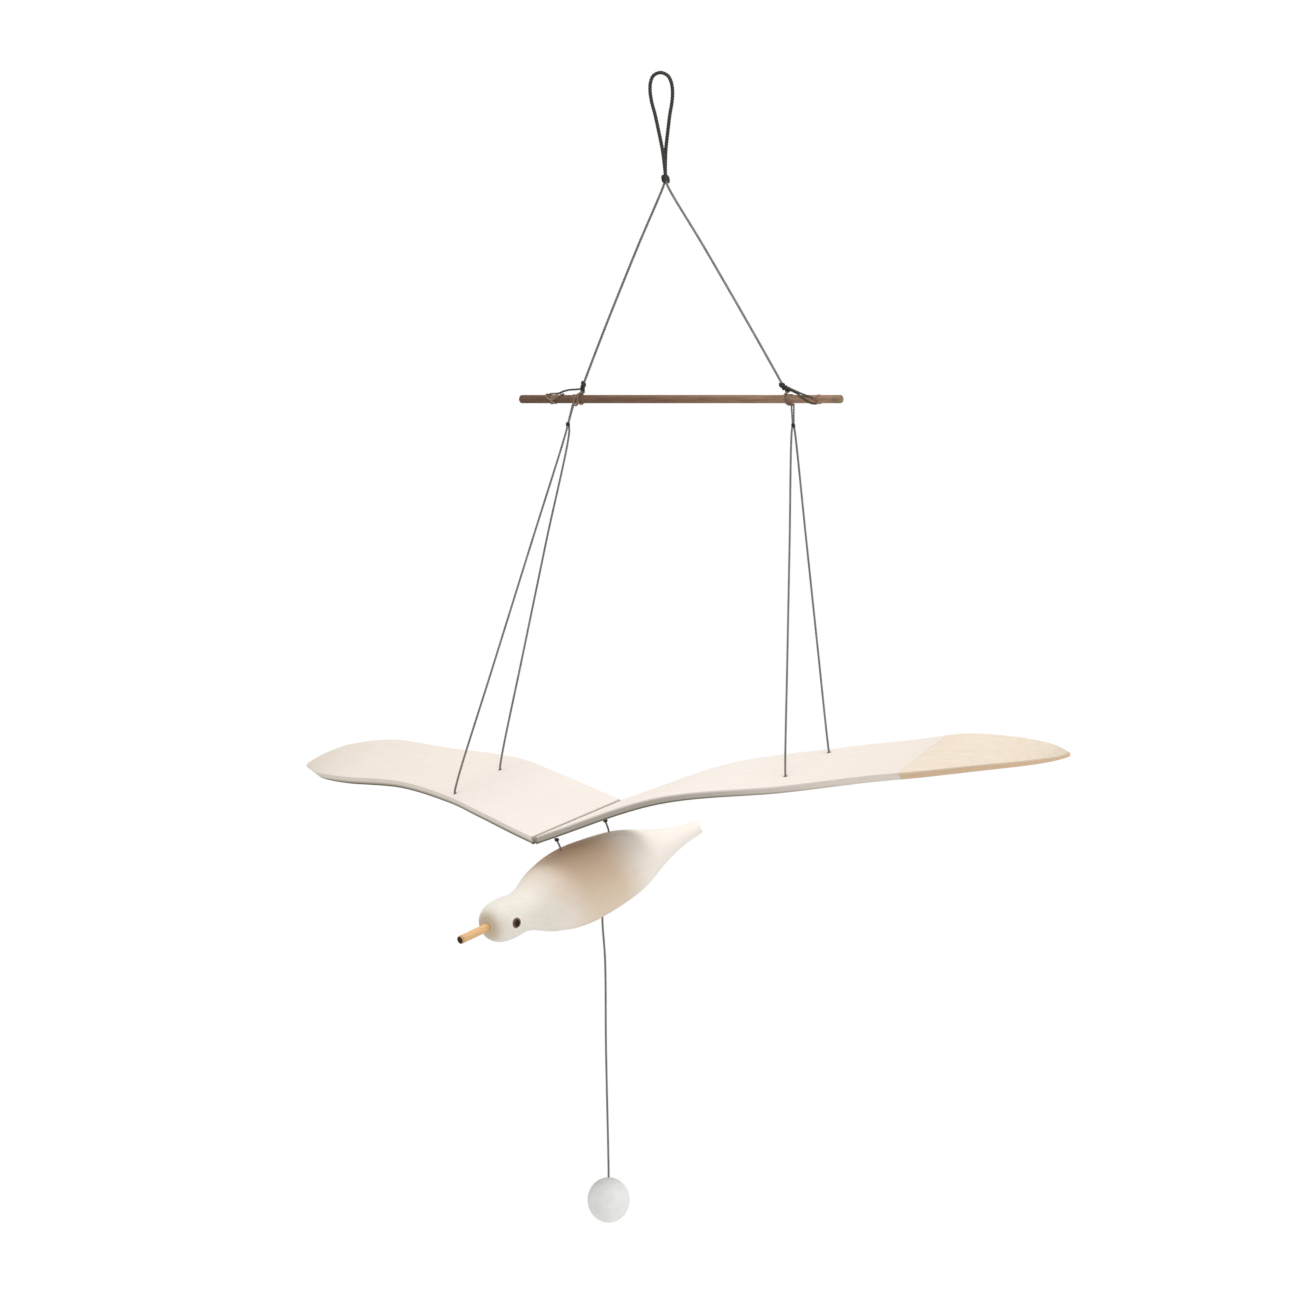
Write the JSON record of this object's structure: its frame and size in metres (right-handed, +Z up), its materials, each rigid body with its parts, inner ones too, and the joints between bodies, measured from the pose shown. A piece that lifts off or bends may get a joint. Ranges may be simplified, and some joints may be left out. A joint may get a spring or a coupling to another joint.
{
  "type": "hanging bird ornament",
  "caption": "Wooden bird that hangs by cords under a rod, with long thin wings that flap when the ball on its pull cord is drawn down and let go.",
  "frame": {"origin": "inner top of the hanging loop, where a hook carries it", "axes": "+Z up, the bird flies towards -Y, and its left wing is at +X"},
  "size_m": [0.5581, 0.1587, 0.5639],
  "materials": {
    "cord": "matt twisted waxed cord, dark grey-brown",
    "rod_wood": "plain brown dowel, matt, with fine grain",
    "washed_wing_wood": "thin bent wood with a cream wash and bare edges, matt",
    "washed_body_wood": "turned wood with a cream wash, rubbed tan on the flank, matt",
    "beak_wood": "tan dowel with a dark end, satin",
    "eye_black": "small black domed pin, glossy",
    "ball_paint": "round wooden ball with matt white paint"
  },
  "bodies": {
    "hanger": {"hanging_loop": "cord", "loop_knot": "cord", "leg_cord_left": "cord", "leg_cord_right": "cord", "rod": "rod_wood", "rod_tie_left": "cord", "rod_tie_right": "cord", "strand_bead_left": "cord", "strand_bead_right": "cord", "strand_left_front": "cord", "strand_left_rear": "cord", "strand_right_front": "cord", "strand_right_rear": "cord"},
    "wing_left": {"wing_left": "washed_wing_wood"},
    "wing_right": {"wing_right": "washed_wing_wood"},
    "bird": {"body": "washed_body_wood", "beak": "beak_wood", "eye_left": "eye_black", "eye_right": "eye_black", "link_cord_front": "cord", "link_cord_rear": "cord", "pull_cord": "cord", "ball": "ball_paint"}
  },
  "joints": [
    {"name": "wing_left_flap", "type": "hinge", "parent": "hanger", "child": "wing_left", "pos_m": [0.11619, -0.00723, -0.34004], "axis": [-0.0009, 0.925, 0.3799], "range_deg": [-12, 12], "stiffness_Nm_per_rad": 0.1, "springref_deg": 17.88},
    {"name": "wing_right_flap", "type": "hinge", "parent": "hanger", "child": "wing_right", "pos_m": [-0.11637, -0.01524, -0.3482], "axis": [0.0006, -0.9342, -0.3566], "range_deg": [-12, 12], "stiffness_Nm_per_rad": 0.1, "springref_deg": 17.88},
    {"name": "bird_dip", "type": "slide", "parent": "hanger", "child": "bird", "axis": [0, -0.3683, 0.9297], "range_m": [-0.0244, 0.0244]}
  ],
  "couplings": [
    {"joint": "wing_right_flap", "follows": "wing_left_flap", "ratio": 1},
    {"joint": "bird_dip", "follows": "wing_left_flap", "m_per_rad": 0.1163}
  ]
}
